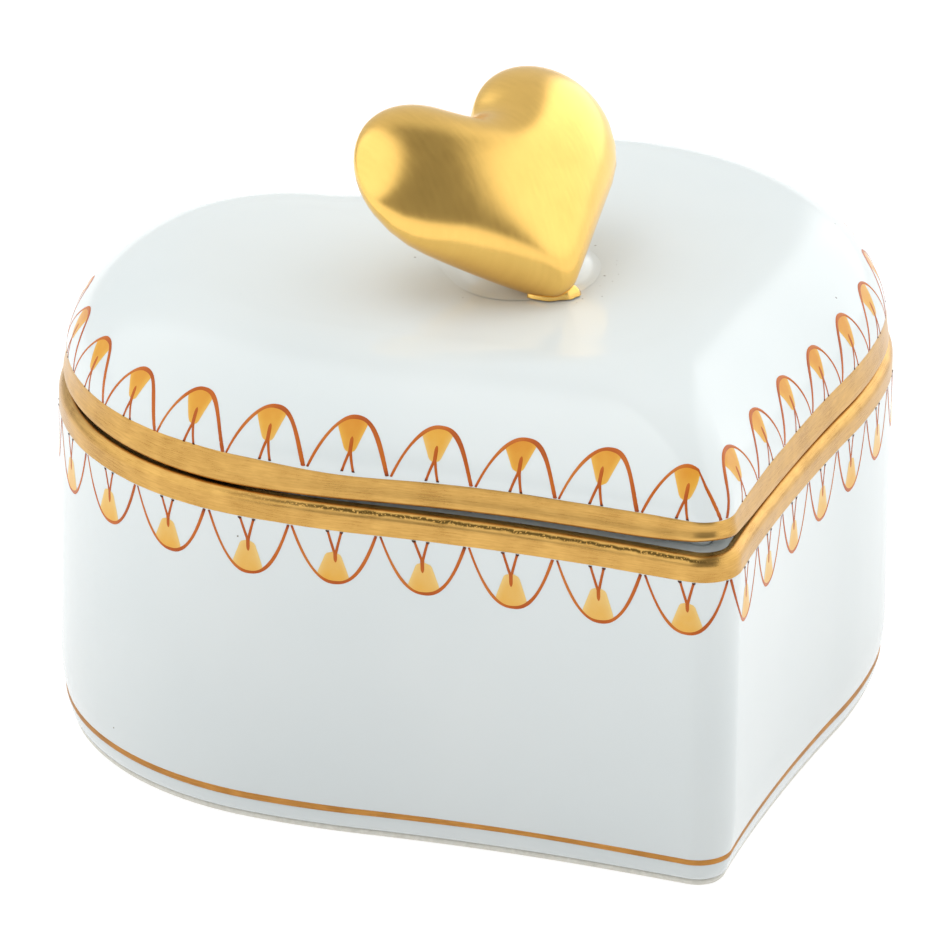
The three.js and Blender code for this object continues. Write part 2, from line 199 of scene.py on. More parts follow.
def bare_clay():
    """Unglazed hard-paste porcelain: matt, warm white, with a fine sandy tooth."""
    finish, nodes, links, shader = new_finish("bare_porcelain")
    place = nodes.new("ShaderNodeTexCoord")
    grain = nodes.new("ShaderNodeTexNoise")
    grain.inputs["Scale"].default_value = 2600
    grain.inputs["Detail"].default_value = 4
    links.new(place.outputs["Object"], grain.inputs["Vector"])
    shade = nodes.new("ShaderNodeValToRGB")
    shade.color_ramp.elements[0].color = (0.50, 0.47, 0.41, 1)
    shade.color_ramp.elements[1].color = (0.74, 0.72, 0.66, 1)
    links.new(grain.outputs["Fac"], shade.inputs["Fac"])
    links.new(shade.outputs["Color"], shader.inputs["Base Color"])
    tooth = nodes.new("ShaderNodeBump")
    tooth.inputs["Strength"].default_value = 0.25
    tooth.inputs["Distance"].default_value = 0.02 * mm
    links.new(grain.outputs["Fac"], tooth.inputs["Height"])
    links.new(tooth.outputs["Normal"], shader.inputs["Normal"])
    shader.inputs["Roughness"].default_value = 0.8
    return finish


foot_inset = 1.0 * mm
foot_breadth = 2.4 * mm
foot_round = 0.16 * mm
foot_rows = []
for inset, height in ((foot_inset + foot_round, 0), (foot_inset, foot_round), (foot_inset, foot_top),
                      (foot_inset + foot_breadth, foot_top), (foot_inset + foot_breadth, foot_round),
                      (foot_inset + foot_breadth - foot_round, 0)):
    foot_rows.append(turning(inset, height))
foot_ring = facing_out(cast("foot_ring", foot_rows, ring=True))
foot_ring.data.materials.append(bare_clay())
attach(foot_ring, "base")
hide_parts("base_foot_ring")

# ------------------------------------------------------------------ bowl
# The base is slip-cast in one: a nearly upright wall with a little draft, a rounded floor and a
# rolled bead at the rim. It is dipped in clear glaze, which lies a little unevenly, and its white
# carries painted shade that darkens it towards the foot.

ledge = bowl_high.z
line_low, line_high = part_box("base_foot_line")
band_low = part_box("base_rim_gilding")[0].z
rim_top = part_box("base_rim_gilding")[1].z
wall = 3.8 * mm
draft = 0.1 * mm
foot_turn = 5.2 * mm
foot_pull = 0.42 * mm
crease = 1.8 * mm
recess = 1.7 * mm
bowl_floor = 4.6 * mm
floor_fillet = 4 * mm
bead_shoulder = 0.9 * mm
gold_reach = 1.1 * mm
gold_film = 0.03 * mm


def wall_inset(height):
    """The wall is all but upright, and only turns in softly near the foot."""
    turned = max(foot_turn - height, 0) / (foot_turn - crease)
    return 0.05 * mm + draft * (ledge - height) / (ledge - crease) + foot_pull * turned**2


def sweep(inset, height, reach, rise, start, end, count):
    """Part of an ellipse as profile points; at 0 it faces the outside, at a quarter turn the top."""
    turns = np.linspace(start, end, count)
    return [(inset - reach * math.cos(t), height + rise * math.sin(t)) for t in turns]


def bead_profile(under):
    """The rim's bead from the wall up over its shoulder, under by a film's thickness."""
    centre = rim_top - bead_shoulder
    face = [(wall_inset(height) + under, height) for height in (band_low, band_low + 0.35 * mm)]
    return face + sweep(wall_inset(centre) + bead_shoulder, centre, bead_shoulder - under,
                        bead_shoulder - under, 0, math.pi / 2, 14)


def glaze():
    """Clear glaze over cool white porcelain: rippled, with iron specks, and painted shade that darkens it
    towards the foot.
    """
    finish, nodes, links, shader = new_finish("glazed_porcelain")
    place = nodes.new("ShaderNodeTexCoord")
    pooling = nodes.new("ShaderNodeTexNoise")
    pooling.inputs["Scale"].default_value = 55
    pooling.inputs["Detail"].default_value = 2
    links.new(place.outputs["Object"], pooling.inputs["Vector"])
    white = nodes.new("ShaderNodeValToRGB")
    white.color_ramp.elements[0].position = 0.3
    white.color_ramp.elements[0].color = (0.705, 0.742, 0.745, 1)
    white.color_ramp.elements[1].position = 0.7
    white.color_ramp.elements[1].color = (0.74, 0.768, 0.766, 1)
    links.new(pooling.outputs["Fac"], white.inputs["Fac"])
    parts = nodes.new("ShaderNodeSeparateXYZ")
    links.new(place.outputs["Object"], parts.inputs["Vector"])
    # painted shade: the white is scaled darker towards the foot
    painted_foot_shade = nodes.new("ShaderNodeMapRange")
    painted_foot_shade.inputs["From Max"].default_value = 27 * mm
    painted_foot_shade.inputs["To Min"].default_value = 0.80
    painted_foot_shade.inputs["To Max"].default_value = 0.98
    links.new(parts.outputs["Z"], painted_foot_shade.inputs["Value"])
    foot_shaded_white = nodes.new("ShaderNodeVectorMath")
    foot_shaded_white.operation = "SCALE"
    links.new(white.outputs["Color"], foot_shaded_white.inputs[0])
    links.new(painted_foot_shade.outputs["Result"], foot_shaded_white.inputs["Scale"])
    iron = nodes.new("ShaderNodeTexNoise")
    iron.inputs["Scale"].default_value = 1500
    iron.inputs["Detail"].default_value = 1
    links.new(place.outputs["Object"], iron.inputs["Vector"])
    speck = nodes.new("ShaderNodeMapRange")
    speck.inputs["From Min"].default_value = 0.835
    speck.inputs["From Max"].default_value = 0.85
    links.new(iron.outputs["Fac"], speck.inputs["Value"])
    spotted = nodes.new("ShaderNodeMixRGB")
    spotted.inputs["Color2"].default_value = (0.16, 0.13, 0.10, 1)
    links.new(speck.outputs["Result"], spotted.inputs["Fac"])
    links.new(foot_shaded_white.outputs["Vector"], spotted.inputs["Color1"])
    links.new(spotted.outputs["Color"], shader.inputs["Base Color"])
    ripple = nodes.new("ShaderNodeTexNoise")
    ripple.inputs["Scale"].default_value = 190
    ripple.inputs["Detail"].default_value = 1
    links.new(place.outputs["Object"], ripple.inputs["Vector"])
    skin = nodes.new("ShaderNodeBump")
    skin.inputs["Strength"].default_value = 0.12
    skin.inputs["Distance"].default_value = 0.06 * mm
    links.new(ripple.outputs["Fac"], skin.inputs["Height"])
    links.new(skin.outputs["Normal"], shader.inputs["Normal"])
    shader.inputs["Roughness"].default_value = 0.13
    shader.inputs["IOR"].default_value = 1.5
    shader.inputs["Subsurface Weight"].default_value = 0.15
    shader.inputs["Subsurface Radius"].default_value = (1.0, 0.9, 0.8)
    shader.inputs["Subsurface Scale"].default_value = 0.7 * mm
    return finish


porcelain = glaze()
inner_foot = foot_inset + foot_breadth
bowl_profile = [(inner_foot + 0.5 * mm, recess), (inner_foot + 0.15 * mm, recess - 0.15 * mm),
                (inner_foot, recess - 0.5 * mm), (inner_foot, foot_top), (foot_inset, foot_top)]
bowl_profile += [(wall_inset(crease) + 0.3 * mm * (1 - t) ** 2, foot_top + (crease - foot_top) * t)
                 for t in (0.1, 0.4, 0.7, 0.9, 1.0)]
bowl_profile += [(wall_inset(height), height) for height in np.linspace(crease + 0.1 * mm, band_low, 24)]
bowl_profile += bead_profile(gold_film)[1:]
bowl_profile += [(inset, rim_top - gold_film) for inset in np.linspace(1.15 * mm, 2.3 * mm, 5)]
bowl_profile += [(2.45 * mm, ledge), (wall, ledge)]
bowl_profile += sweep(wall + floor_fillet, bowl_floor + floor_fillet, floor_fillet, -floor_fillet,
                      0, math.pi / 2, 12)
bowl_rows = [turning(inset, height) for inset, height in bowl_profile]
for scale in (0.6, 0.3, 0.1):
    bowl_rows.append(bowl_rows[len(bowl_profile) - 1] * [scale, scale, 1])
bowl = facing_out(cast("bowl", bowl_rows, crown=(True, True)))
bowl.data.materials.append(porcelain)
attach(bowl, "base")
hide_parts("base_bowl")

# ------------------------------------------------------------------ locating collar
# A low upright collar stands inside the rim and keeps the lid in place. It is cast with the base
# and glazed, and only a strip of it shows, in shade, under the lid's edge.

collar_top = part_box("base_collar")[1].z
collar_inset = 2.5 * mm
collar_round = 0.45 * mm
collar_profile = [(collar_inset - 0.05 * mm, ledge), (collar_inset, ledge + 0.3 * mm)]
collar_profile += sweep(collar_inset + collar_round, collar_top - collar_round, collar_round, collar_round,
                        0, math.pi / 2, 7)
collar_profile += sweep(wall - collar_round, collar_top - collar_round, collar_round, collar_round,
                        math.pi / 2, math.pi, 7)
collar_profile += [(wall, ledge)]
collar = facing_out(cast("collar", [turning(*point) for point in collar_profile], ring=True))
collar.data.materials.append(porcelain)
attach(collar, "base")
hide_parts("base_collar")

# ------------------------------------------------------------------ gold line at the foot
# One thin line of liquid gold, drawn with a liner brush while the base turns on a banding wheel.
# It is left nearly matt, and its width and height wander a little, as a hand-held brush does.


def wander(amount, waves, seed):
    """A smooth wander round the rim, such as a hand-held brush leaves."""
    draw = np.random.default_rng(seed)
    total = np.zeros(len(rim_place))
    for wave in range(1, waves + 1):
        size, shift = draw.normal() / math.sqrt(wave), draw.uniform(0, 2 * math.pi)
        total += size * np.cos(2 * math.pi * wave * rim_place / rim_length + shift)
    return amount * total / max(np.abs(total).max(), 1e-9)


def gilding(name, light, dark, roughness, scratch, streak=5.0):
    """Fired gold, burnished by hand: satin, with fine strokes along the brush's way."""
    finish, nodes, links, shader = new_finish(name)
    place = nodes.new("ShaderNodeUVMap")
    place.uv_map = "brush"
    stretch = nodes.new("ShaderNodeMapping")
    stretch.inputs["Scale"].default_value = (0.35, streak, 1.0)
    links.new(place.outputs["UV"], stretch.inputs["Vector"])
    strokes = nodes.new("ShaderNodeTexNoise")
    strokes.inputs["Scale"].default_value = 1.6
    strokes.inputs["Detail"].default_value = 5
    strokes.inputs["Roughness"].default_value = 0.65
    links.new(stretch.outputs["Vector"], strokes.inputs["Vector"])
    body = nodes.new("ShaderNodeTexCoord")
    patches = nodes.new("ShaderNodeTexNoise")
    patches.inputs["Scale"].default_value = 420
    patches.inputs["Detail"].default_value = 3
    links.new(body.outputs["Object"], patches.inputs["Vector"])
    blend = nodes.new("ShaderNodeMath")
    blend.operation = "MULTIPLY_ADD"
    blend.inputs[1].default_value = 0.45
    links.new(patches.outputs["Fac"], blend.inputs[0])
    share = nodes.new("ShaderNodeMath")
    share.operation = "MULTIPLY"
    share.inputs[1].default_value = 0.55
    links.new(strokes.outputs["Fac"], share.inputs[0])
    links.new(share.outputs["Value"], blend.inputs[2])
    tone = nodes.new("ShaderNodeValToRGB")
    tone.color_ramp.elements[0].position = 0.36
    tone.color_ramp.elements[0].color = (*dark, 1)
    tone.color_ramp.elements[1].position = 0.62
    tone.color_ramp.elements[1].color = (*light, 1)
    links.new(blend.outputs["Value"], tone.inputs["Fac"])
    links.new(tone.outputs["Color"], shader.inputs["Base Color"])
    shine = nodes.new("ShaderNodeMapRange")
    shine.inputs["To Min"].default_value = roughness - 0.07
    shine.inputs["To Max"].default_value = roughness + 0.1
    links.new(blend.outputs["Value"], shine.inputs["Value"])
    links.new(shine.outputs["Result"], shader.inputs["Roughness"])
    marks = nodes.new("ShaderNodeBump")
    marks.inputs["Strength"].default_value = scratch
    marks.inputs["Distance"].default_value = 0.03 * mm
    links.new(blend.outputs["Value"], marks.inputs["Height"])
    links.new(marks.outputs["Normal"], shader.inputs["Normal"])
    shader.inputs["Metallic"].default_value = 1.0
    return finish


line_middle = (line_low.z + line_high.z) / 2
line_half = 0.3 * mm
line_drift = wander(0.07 * mm, 6, 11)
line_upper = line_middle + line_half + line_drift + wander(0.05 * mm, 30, 12)
line_lower = line_middle - line_half + line_drift + wander(0.05 * mm, 30, 13)
line_rows = []
for share, stand in ((0.0, 0.0), (0.12, 1.0), (0.5, 1.2), (0.88, 1.0), (1.0, 0.0)):
    height = line_lower + (line_upper - line_lower) * share
    line_rows.append(turning(wall_inset(line_middle) - gold_film * stand + 0.003 * mm, height))
foot_line = cast("foot_line", line_rows)
foot_line.data.materials.append(gilding("matt_gold", (0.56, 0.27, 0.07), (0.36, 0.16, 0.04), 0.48, 0.2))
facing_out(foot_line)
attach(foot_line, "base")
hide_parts("base_foot_line")

# ------------------------------------------------------------------ gold on the base's rim
# Liquid gold brushed over the bead, fired on and burnished with an agate tip. The brush leaves a
# slightly ragged lower edge, and the burnisher small bright facets along the shoulder.

rim_bright = (0.69, 0.405, 0.118)
rim_deep = (0.48, 0.262, 0.068)
rim_gold = gilding("burnished_gold", rim_bright, rim_deep, 0.27, 0.25)
base_rim_finish = gilding("burnished_gold_with_painted_reflection", rim_bright, rim_deep, 0.27, 0.25)


def painted_dark_reflection(finish, level, half_width, left_end, right_end):
    """A painted reflection: a dark line along the bead's shoulder, broken by specks where the plain gold
    shows.
    """
    nodes, links = finish.node_tree.nodes, finish.node_tree.links
    shader = nodes["Principled BSDF"]

    def math_node(operation, first, second, third=None):
        node = nodes.new("ShaderNodeMath")
        node.operation = operation
        for socket, value in zip(node.inputs, (first, second, third)):
            if isinstance(value, (int, float)):
                socket.default_value = value
            elif value is not None:
                links.new(value, socket)
        return node.outputs["Value"]

    place = nodes.new("ShaderNodeUVMap")
    place.uv_map = "brush"
    parts = nodes.new("ShaderNodeSeparateXYZ")
    links.new(place.outputs["UV"], parts.inputs["Vector"])
    body = nodes.new("ShaderNodeTexCoord")
    waver = nodes.new("ShaderNodeTexNoise")
    waver.inputs["Scale"].default_value = 1100
    waver.inputs["Detail"].default_value = 3
    links.new(body.outputs["Object"], waver.inputs["Vector"])
    from_line = math_node("SUBTRACT", parts.outputs["Y"], level)
    ragged = math_node("MULTIPLY_ADD", waver.outputs["Fac"], 0.35, math_node("SUBTRACT", from_line, 0.175))
    near = math_node("DIVIDE", math_node("ABSOLUTE", ragged, 0.0), half_width)
    line = nodes.new("ShaderNodeMapRange")
    line.interpolation_type = "SMOOTHSTEP"
    line.inputs["From Min"].default_value = 1.6
    line.inputs["From Max"].default_value = 0.3
    links.new(near, line.inputs["Value"])
    stretch_on = nodes.new("ShaderNodeMapRange")
    stretch_on.interpolation_type = "SMOOTHSTEP"
    stretch_on.inputs["From Min"].default_value = left_end - 7
    stretch_on.inputs["From Max"].default_value = left_end + 7
    links.new(parts.outputs["X"], stretch_on.inputs["Value"])
    stretch_off = nodes.new("ShaderNodeMapRange")
    stretch_off.inputs["From Min"].default_value = right_end
    stretch_off.inputs["From Max"].default_value = right_end - 1.2
    links.new(parts.outputs["X"], stretch_off.inputs["Value"])
    span = math_node("MULTIPLY", stretch_on.outputs["Result"], stretch_off.outputs["Result"])
    amount = math_node("MULTIPLY", line.outputs["Result"], span)
    grains = nodes.new("ShaderNodeTexNoise")
    grains.inputs["Scale"].default_value = 7000
    links.new(body.outputs["Object"], grains.inputs["Vector"])
    grain = nodes.new("ShaderNodeMapRange")
    grain.inputs["From Min"].default_value = 0.58
    grain.inputs["From Max"].default_value = 0.64
    links.new(grains.outputs["Fac"], grain.inputs["Value"])
    # painted reflection: the dark line, left out at the grains
    dark_reflection = math_node("MULTIPLY", amount, math_node("SUBTRACT", 1.0, grain.outputs["Result"]))
    mix = nodes.new("ShaderNodeMixRGB")
    mix.inputs["Color2"].default_value = (0.06, 0.036, 0.008, 1)
    links.new(math_node("MULTIPLY", dark_reflection, 0.92), mix.inputs["Fac"])
    links.new(shader.inputs["Base Color"].links[0].from_socket, mix.inputs["Color1"])
    links.new(mix.outputs["Color"], shader.inputs["Base Color"])


# painted reflection: a dark line along the base bead's shoulder, on the left flank only
painted_dark_reflection(base_rim_finish, 1.72, 0.13, 163, rim_length / mm - 0.8)
band_edge = wander(0.06 * mm, 40, 21) + wander(0.05 * mm, 9, 22)
ripple = wander(0.02 * mm, 60, 24)
rim_rows = [turning(wall_inset(band_low) + 0.003 * mm, band_low + band_edge)]
for inset, height in bead_profile(0)[1:]:
    row = turning(inset, height)
    row[:, :2] *= (1 + ripple / (heart_width / 2))[:, None]
    rim_rows.append(row)
rim_rows.append(turning(gold_reach - 0.06 * mm, rim_top))
rim_rows.append(turning(gold_reach, rim_top - gold_film * 1.1))
base_gold = facing_out(cast("base_rim_gold", rim_rows))
base_gold.data.materials.append(base_rim_finish)
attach(base_gold, "base")
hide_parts("base_rim_gilding")

# ------------------------------------------------------------------ painted border of the base
# Scallops in overglaze enamel hang from the gold: an arch in iron orange drawn with a pen, a fan of
# thin amber wash inside its crown, and a small V of two strokes, with dark dots where they start.


class Skin:
    """The glaze beside the gold, addressed by places along the gold's edge and drops away from it."""

    def __init__(self, pot, edge, profile):
        steps = np.linalg.norm(np.roll(edge, -1, 0) - edge, axis=1)
        self.places = np.concatenate([[0], np.cumsum(steps)])
        self.edge = np.vstack([edge, edge[:1]])
        along = np.roll(edge, -1, 0) - np.roll(edge, 1, 0)
        inward = np.column_stack([-along[:, 1], along[:, 0]])
        inward /= np.linalg.norm(inward, axis=1)[:, None]
        self.inward = np.vstack([inward, inward[:1]])
        self.insets, self.heights = np.array(profile).T
        rungs = np.hypot(np.diff(self.insets), np.diff(self.heights))
        self.drops = np.concatenate([[0], np.cumsum(rungs)])
        self.tree = BVHTree.FromPolygons([v.co.copy() for v in pot.data.vertices],
                                         [list(face.vertices) for face in pot.data.polygons])

    def points(self, places, drops, lifts):
        """Points on the glaze, straight up or down from the gold's edge, lifted off the glaze."""
        places = np.mod(places, self.places[-1])
        inset = np.interp(drops, self.drops, self.insets)
        height = np.interp(drops, self.drops, self.heights)
        foot = [np.interp(places, self.places, self.edge[:, axis]) for axis in (0, 1)]
        pull = [np.interp(places, self.places, self.inward[:, axis]) for axis in (0, 1)]
        found = []
        for x, y, pull_x, pull_y, step, z, lift in zip(*foot, *pull, inset, height, lifts):
            guess = Vector((x + pull_x * step, y + pull_y * step, z))
            spot, normal, _, _ = self.tree.find_nearest(guess)
            if normal.dot(Vector((pull_x, pull_y, -0.5))) > 0:
                normal = -normal
            found.append(spot + normal * lift)
        return found


class Painting:
    """Collects strokes and washes for one border, and turns them into one piece."""

    def __init__(self, skin):
        self.skin, self.points, self.faces, self.tones = skin, [], [], []

    def strip(self, places, drops, tones, lift):
        """A grid of points, given as rows of equal length, added as one patch."""
        places, drops, tones, lift = np.broadcast_arrays(places, drops, tones, lift)
        shape = places.shape
        start = len(self.points)
        self.points += self.skin.points(np.ravel(places), np.ravel(drops), np.ravel(lift))
        self.tones += list(np.ravel(tones))
        for i in range(shape[0] - 1):
            for j in range(shape[1] - 1):
                a = start + i * shape[1] + j
                self.faces.append((a, a + 1, a + 1 + shape[1], a + shape[1]))

    def stroke(self, places, drops, widths, tones):
        """A pen stroke of changing width, raised a little along its middle."""
        places, drops = np.asarray(places), np.asarray(drops)
        along = np.stack([np.gradient(places), np.gradient(drops)], 1)
        along /= np.linalg.norm(along, axis=1)[:, None]
        side = np.stack([-along[:, 1], along[:, 0]], 1)
        spread = np.array([-0.5, -0.3, 0, 0.3, 0.5])
        height = np.array([0.004, 0.022, 0.028, 0.022, 0.004]) * mm
        width = np.asarray(widths)[:, None] * spread
        self.strip(places[:, None] + side[:, :1] * width, drops[:, None] + side[:, 1:] * width,
                   np.repeat(np.asarray(tones)[:, None], 5, 1), np.repeat(height[None], len(places), 0))

    def piece(self, name, finish):
        mesh = bpy.data.meshes.new(name)
        mesh.from_pydata([list(p) for p in self.points], [], self.faces)
        tone = mesh.attributes.new("tone", "FLOAT", "POINT")
        tone.data.foreach_set("value", np.array(self.tones, np.float32))
        mesh.polygons.foreach_set("use_smooth", [True] * len(mesh.polygons))
        mesh.update()
        made = bpy.data.objects.new(name, mesh)
        bpy.context.scene.collection.objects.link(made)
        made.data.materials.append(finish)
        return made


def enamel(name, colours, roughness):
    """Glossy overglaze enamel: its tone follows how much colour the pen or brush left."""
    finish, nodes, links, shader = new_finish(name)
    tone = nodes.new("ShaderNodeAttribute")
    tone.attribute_name = "tone"
    place = nodes.new("ShaderNodeTexCoord")
    mottle = nodes.new("ShaderNodeTexNoise")
    mottle.inputs["Scale"].default_value = 900
    mottle.inputs["Detail"].default_value = 3
    links.new(place.outputs["Object"], mottle.inputs["Vector"])
    uneven = nodes.new("ShaderNodeMath")
    uneven.operation = "MULTIPLY_ADD"
    uneven.inputs[1].default_value = 0.3
    links.new(mottle.outputs["Fac"], uneven.inputs[0])
    links.new(tone.outputs["Fac"], uneven.inputs[2])
    ramp = nodes.new("ShaderNodeValToRGB")
    ramp.color_ramp.elements[0].position = 0.0
    ramp.color_ramp.elements[1].position = 1.0
    ramp.color_ramp.elements[0].color = (*colours[0], 1)
    ramp.color_ramp.elements[1].color = (*colours[-1], 1)
    for i, colour in enumerate(colours[1:-1], 1):
        stop = ramp.color_ramp.elements.new(i / (len(colours) - 1))
        stop.color = (*colour, 1)
    links.new(uneven.outputs["Value"], ramp.inputs["Fac"])
    links.new(ramp.outputs["Color"], shader.inputs["Base Color"])
    shader.inputs["Roughness"].default_value = roughness
    shader.inputs["Specular IOR Level"].default_value = 0.2
    return finish


pen_colour = enamel("iron_orange_enamel", [(0.58, 0.19, 0.035), (0.50, 0.115, 0.012), (0.36, 0.062, 0.008),
                                           (0.07, 0.02, 0.008)], 0.25)
wash_colour = enamel("amber_wash", [(0.78, 0.53, 0.19), (0.74, 0.38, 0.055), (0.62, 0.20, 0.01)], 0.2)

foot_gap = 0.16 * mm
pen_line = 0.19
leg_line = 0.22


def scallop(pen, wash, feet, depth, style, hand):
    """One scallop between its two feet on the gold, reaching depth away from it."""
    start, end = (foot + hand.normal(0, 0.03) * mm for foot in feet)
    start, end = start + foot_gap, end - foot_gap
    tall = depth * hand.uniform(0.97, 1.04)
    middle = (start + end) / 2 + style["skew"] * (end - start) / 2
    turn = np.linspace(-1, 1, 45)
    half = np.where(turn < 0, middle - start, end - middle)
    places = middle + turn * half
    bend = np.where(turn < 0, style["slack"], style["full"])
    drops = tall * (1 - np.abs(turn) ** bend)
    heavy = 0.5 + 0.5 * np.tanh((turn * style["thick_side"] + 0.25) * 2.5)
    crown = np.exp(-((turn / 0.6) ** 2))
    width = (pen_line + style["weight"] * heavy + 0.05 * crown) * mm
    width *= 1 + 0.1 * np.cos(turn * 8 + hand.uniform(0, 6))
    tone = 0.16 + 0.2 * heavy + 0.12 * np.cos(turn * 5 + hand.uniform(0, 6))
    tone = np.maximum(tone, hand.uniform(0.55, 0.95) * np.exp(-((1 - np.abs(turn)) / 0.05) ** 2))
    pen.stroke(places, drops, width, tone - 0.1)

    # the fan of wash follows the crown of the arch and narrows to a soft end
    centre = middle - style["skew"] * (end - start) * 0.25 + hand.normal(0, 0.01) * (end - start)
    u, v = np.linspace(-1, 1, 17)[None, :], np.linspace(0, 1, 15)[:, None]
    pitch = end - start
    taper = style["fan_end"] + (1 - style["fan_end"]) * (1 - v**1.25)
    round_end = np.sqrt(np.clip(1 - np.clip((v - 0.86) / 0.14, 0, 1) ** 2, 0, 1)) * 0.9 + 0.1
    across = u * pitch * style["fan_width"] / 2 * taper * round_end
    share = (centre + across - middle) / np.where(centre + across < middle, middle - start, end - middle)
    roof = tall * (1 - np.abs(share) ** np.where(share < 0, style["slack"], style["full"])) - 0.04 * mm
    sill = tall * style["fan_sill"] * hand.uniform(0.94, 1.06)
    fan_drops = roof * (1 - v) + sill * v
    shade = style["fan_tone"] + 0.25 * (1 - v) - 0.35 * np.abs(u) ** 4 + hand.normal(0, 0.05)
    wash.strip(centre + across, fan_drops, shade, (0.006 + 0.006 * (1 - np.abs(u) ** 4) + 0 * v) * mm)

    # one thick stroke from the fan, parting into two legs that stand on the gold
    apex = tall * style["apex"] * hand.uniform(0.96, 1.04)
    join = tall * style["join"] * hand.uniform(0.9, 1.1)
    stem = centre + hand.normal(0, 0.012) * pitch
    lean = style["lean"] * pitch
    for side in (-1, 1):
        foot = stem - lean + side * pitch * style["spread"] / 2 * hand.uniform(0.85, 1.1)
        steps = np.linspace(0, 1, 18)
        drop = apex * (1 - steps)
        parted = np.clip((join - drop) / join, 0, 1)
        where = stem + lean * (0.5 - steps) * (1 - parted) + (foot - stem) * parted
        where += side * 0.05 * mm * np.clip(steps * 8, 0, 1)
        thick = (leg_line - 0.03 * parted + 0.05 * np.exp(-((1 - steps) / 0.06) ** 2)) * mm
        thick *= np.clip(0.4 + steps * 10, 0, 1)
        dark = 0.3 + 0.12 * np.sin(steps * 3) + 0.6 * np.exp(-((1 - steps) / 0.07) ** 2)
        pen.stroke(where, drop - 0.03 * mm, thick, dark - 0.1)
        blot = style["dot"] * hand.uniform(0.85, 1.15) * mm
        ring = np.linspace(0, 2 * math.pi, 13)[None, :]
        grow = np.array([0.02, 0.6, 1.0])[:, None]
        pen.strip(foot + side * 0.05 * mm + grow * blot * np.cos(ring),
                  0.03 * mm + grow * blot * np.sin(ring) * 0.9, 0.85, (0.06 - 0.035 * grow**2) * mm)


def border(name, skin, left_feet, right_feet, depth, style, seed):
    """Feet run leftwards and rightwards from the tip, and the painter's heavy side is towards it."""
    hand = np.random.default_rng(seed)
    pen, wash = Painting(skin), Painting(skin)
    for feet, thick_side in ((left_feet[::-1], 1), (right_feet, -1)):
        for pair in zip(feet[:-1], feet[1:]):
            scallop(pen, wash, pair, depth, dict(style, thick_side=thick_side), hand)
    return pen.piece(name + "_pen_strokes", pen_colour), wash.piece(name + "_amber_fans", wash_colour)


border_start = wall_inset(band_low)
base_skin = Skin(bowl, turning(border_start, band_low)[:, :2],
                 [(wall_inset(height) - border_start, height)
                  for height in np.linspace(band_low, band_low - 8 * mm, 17)])
base_left = (0.7 - 6.7 * np.arange(15)) * mm
base_right = np.linspace(0.65 * mm, base_skin.places[-1] + base_left[-1], 18)
base_style = dict(skew=0.0, slack=2.15, full=2.5, weight=0.045, fan_width=0.38, fan_end=0.42,
                  fan_sill=0.39, fan_tone=0.0, apex=0.61, join=0.4, lean=0.01, spread=0.155, dot=0.14)
for piece in border("base_border", base_skin, base_left, base_right, 4.15 * mm, base_style, 31):
    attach(piece, "base")

# ------------------------------------------------------------------ lid
# The lid is cast as one thin shell: a short upright side, a broad rounded shoulder and a nearly flat
# top. Its edge bowed a little in the firing, so that it stands off the base near the tip.

lid_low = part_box("lid_dome")[0].z
lid_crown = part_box("lid_dome")[1].z
lid_band_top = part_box("lid_rim_gilding")[1].z
lid_inset = 0.6 * mm
lid_edge_inset = 0.42 * mm
lid_side = 1.7 * mm
shoulder_reach = 9.9 * mm
shoulder_rise = 8.05 * mm
lid_shell = 2.6 * mm
rebate = 2.15 * mm
rebate_top = collar_top + 0.4 * mm
ridge_softening = 0.45
edge_round = 0.3 * mm
shoulder_foot = lid_low + lid_side
dome_top = shoulder_foot + shoulder_rise

# the edge stands off the base along the left flank, most of all at the tip, and sits low everywhere else
rim_side = np.where(rim_place > rim_length / 2, rim_place - rim_length, rim_place)
touch_at, touch_wide, bow_rise = -39 * mm, 15 * mm, 0.42 * mm
nose_wide, nose_rise = 4 * mm, 0.5 * mm
lid_bow = 0.12 * mm + bow_rise * (1 - np.exp(-((rim_side - touch_at) / touch_wide) ** 2))
lid_bow += nose_rise * np.exp(-((rim_side / nose_wide) ** 2))
low_right = 1 / (1 + np.exp((7 * mm - rim_side) / (2.5 * mm)))
low_back = 1 / (1 + np.exp((rim_side + 74 * mm) / (4 * mm)))
lid_bow *= 1 - 0.85 * (low_right + low_back)


def dome_profile(under, count):
    """The lid's skin over the shoulder to the edge of its flat top: inset, height and tip radius."""
    side = lid_inset + under
    reach = shoulder_reach - under / 2
    rise = shoulder_rise - under
    points = sweep(side + reach, shoulder_foot, reach, rise, 0, math.pi / 2, count)
    return [(inset, height, tip_round - lid_inset + ridge_softening * (inset - side))
            for inset, height in points]


def dome_rows(under, count, shrinks):
    rows = [turning(*point) for point in dome_profile(under, count)]
    edge = rows[-1]
    for shrink in shrinks:
        row = edge * [shrink, shrink, 1]
        row[:, 2] += (lid_crown - dome_top) * (1 - shrink**2)
        rows.append(row)
    return rows


